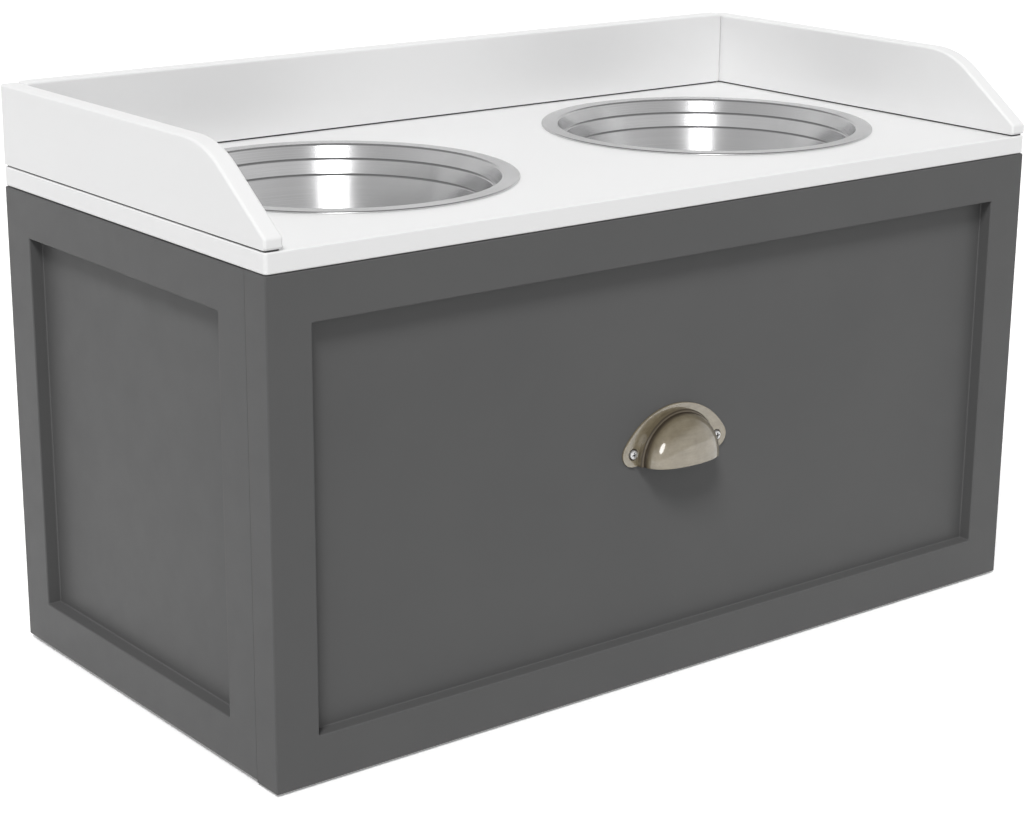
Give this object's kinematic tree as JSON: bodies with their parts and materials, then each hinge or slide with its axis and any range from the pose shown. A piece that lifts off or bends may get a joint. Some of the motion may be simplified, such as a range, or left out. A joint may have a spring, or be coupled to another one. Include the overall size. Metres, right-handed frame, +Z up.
{
  "type": "elevated dog feeder with storage",
  "caption": "Cabinet with a framed overlay drawer front and a cup pull, under a white top board with low guards and round steel bowls that lift out.",
  "frame": {"origin": "on the floor, under the middle of the whole object's box, with the pull counted in", "axes": "+X to the right along the drawer front, +Y to the back, +Z up"},
  "size_m": [0.6, 0.3116, 0.365],
  "materials": {
    "grey_paint": "satin grey paint on fibreboard",
    "white_lacquer": "satin white lacquer on fibreboard",
    "bare_wood": "bare sanded wood",
    "drawer_box": "matt white foil on fibreboard",
    "stainless_steel": "polished stainless steel",
    "aged_brass": "smooth aged brass, lacquered",
    "nickel_screws": "bright nickel plate",
    "runner_enamel": "white enamel on sheet steel",
    "nylon": "white nylon",
    "zinc_steel": "bright zinc plate",
    "bumper_gel": "soft clear bumper",
    "glide_plastic": "black moulded plastic"
  },
  "bodies": {
    "cabinet": {"left_side_panel": "grey_paint", "left_front_stile": "grey_paint", "left_rear_stile": "grey_paint", "left_top_rail": "grey_paint", "left_bottom_rail": "grey_paint", "right_side_panel": "grey_paint", "right_front_stile": "grey_paint", "right_rear_stile": "grey_paint", "right_top_rail": "grey_paint", "right_bottom_rail": "grey_paint", "bottom_panel": "grey_paint", "back_panel": "grey_paint", "front_stretcher": "bare_wood", "back_stretcher": "bare_wood", "top_board": "white_lacquer", "left_guard": "white_lacquer", "right_guard": "white_lacquer", "back_guard": "white_lacquer", "left_cabinet_runner": "runner_enamel", "right_cabinet_runner": "runner_enamel", "cabinet_rivets": "zinc_steel", "cabinet_runner_screws": "zinc_steel", "guard_screws": "zinc_steel", "stretcher_screws": "zinc_steel", "carcass_cam_bolts": "zinc_steel", "carcass_cam_discs": "zinc_steel", "carcass_dowels": "bare_wood", "glides": "glide_plastic"},
    "drawer": {"drawer_front_panel": "grey_paint", "drawer_left_stile": "grey_paint", "drawer_right_stile": "grey_paint", "drawer_top_rail": "grey_paint", "drawer_bottom_rail": "grey_paint", "drawer_left_side": "drawer_box", "drawer_right_side": "drawer_box", "drawer_back": "drawer_box", "drawer_bottom": "drawer_box", "cup_pull": "aged_brass", "pull_screws": "nickel_screws", "left_drawer_runner": "runner_enamel", "right_drawer_runner": "runner_enamel", "drawer_rivets": "zinc_steel", "drawer_runner_screws": "zinc_steel", "drawer_cam_bolts": "zinc_steel", "drawer_cam_discs": "zinc_steel", "drawer_dowels": "bare_wood", "drawer_back_screws": "zinc_steel", "drawer_bumpers": "bumper_gel"},
    "left_cabinet_roller": {"left_cabinet_roller": "nylon"},
    "right_cabinet_roller": {"right_cabinet_roller": "nylon"},
    "left_drawer_roller": {"left_drawer_roller": "nylon"},
    "right_drawer_roller": {"right_drawer_roller": "nylon"},
    "left_bowl": {"left_bowl": "stainless_steel"},
    "right_bowl": {"right_bowl": "stainless_steel"}
  },
  "joints": [
    {"name": "drawer_slide", "type": "slide", "parent": "cabinet", "child": "drawer", "axis": [0, -1, 0], "range_m": [0, 0.185]},
    {"name": "left_bowl_lift", "type": "slide", "parent": "cabinet", "child": "left_bowl", "axis": [0, 0, 1], "range_m": [0, 0.13]},
    {"name": "right_bowl_lift", "type": "slide", "parent": "cabinet", "child": "right_bowl", "axis": [0, 0, 1], "range_m": [0, 0.13]},
    {"name": "left_cabinet_roller_spin", "type": "hinge", "parent": "cabinet", "child": "left_cabinet_roller", "pos_m": [-0.27275, -0.10825, 0.0293], "axis": [1, 0, 0], "range_deg": [0, 1325]},
    {"name": "left_drawer_roller_spin", "type": "hinge", "parent": "drawer", "child": "left_drawer_roller", "pos_m": [-0.27275, 0.11575, 0.0293], "axis": [1, 0, 0], "range_deg": [0, 1325]},
    {"name": "right_cabinet_roller_spin", "type": "hinge", "parent": "cabinet", "child": "right_cabinet_roller", "pos_m": [0.27275, -0.10825, 0.0293], "axis": [1, 0, 0], "range_deg": [0, 1325]},
    {"name": "right_drawer_roller_spin", "type": "hinge", "parent": "drawer", "child": "right_drawer_roller", "pos_m": [0.27275, 0.11575, 0.0293], "axis": [1, 0, 0], "range_deg": [0, 1325]}
  ],
  "couplings": [
    {"joint": "left_cabinet_roller_spin", "follows": "drawer_slide", "rad_per_m": 125},
    {"joint": "left_drawer_roller_spin", "follows": "drawer_slide", "rad_per_m": 125},
    {"joint": "right_cabinet_roller_spin", "follows": "drawer_slide", "rad_per_m": 125},
    {"joint": "right_drawer_roller_spin", "follows": "drawer_slide", "rad_per_m": 125}
  ]
}
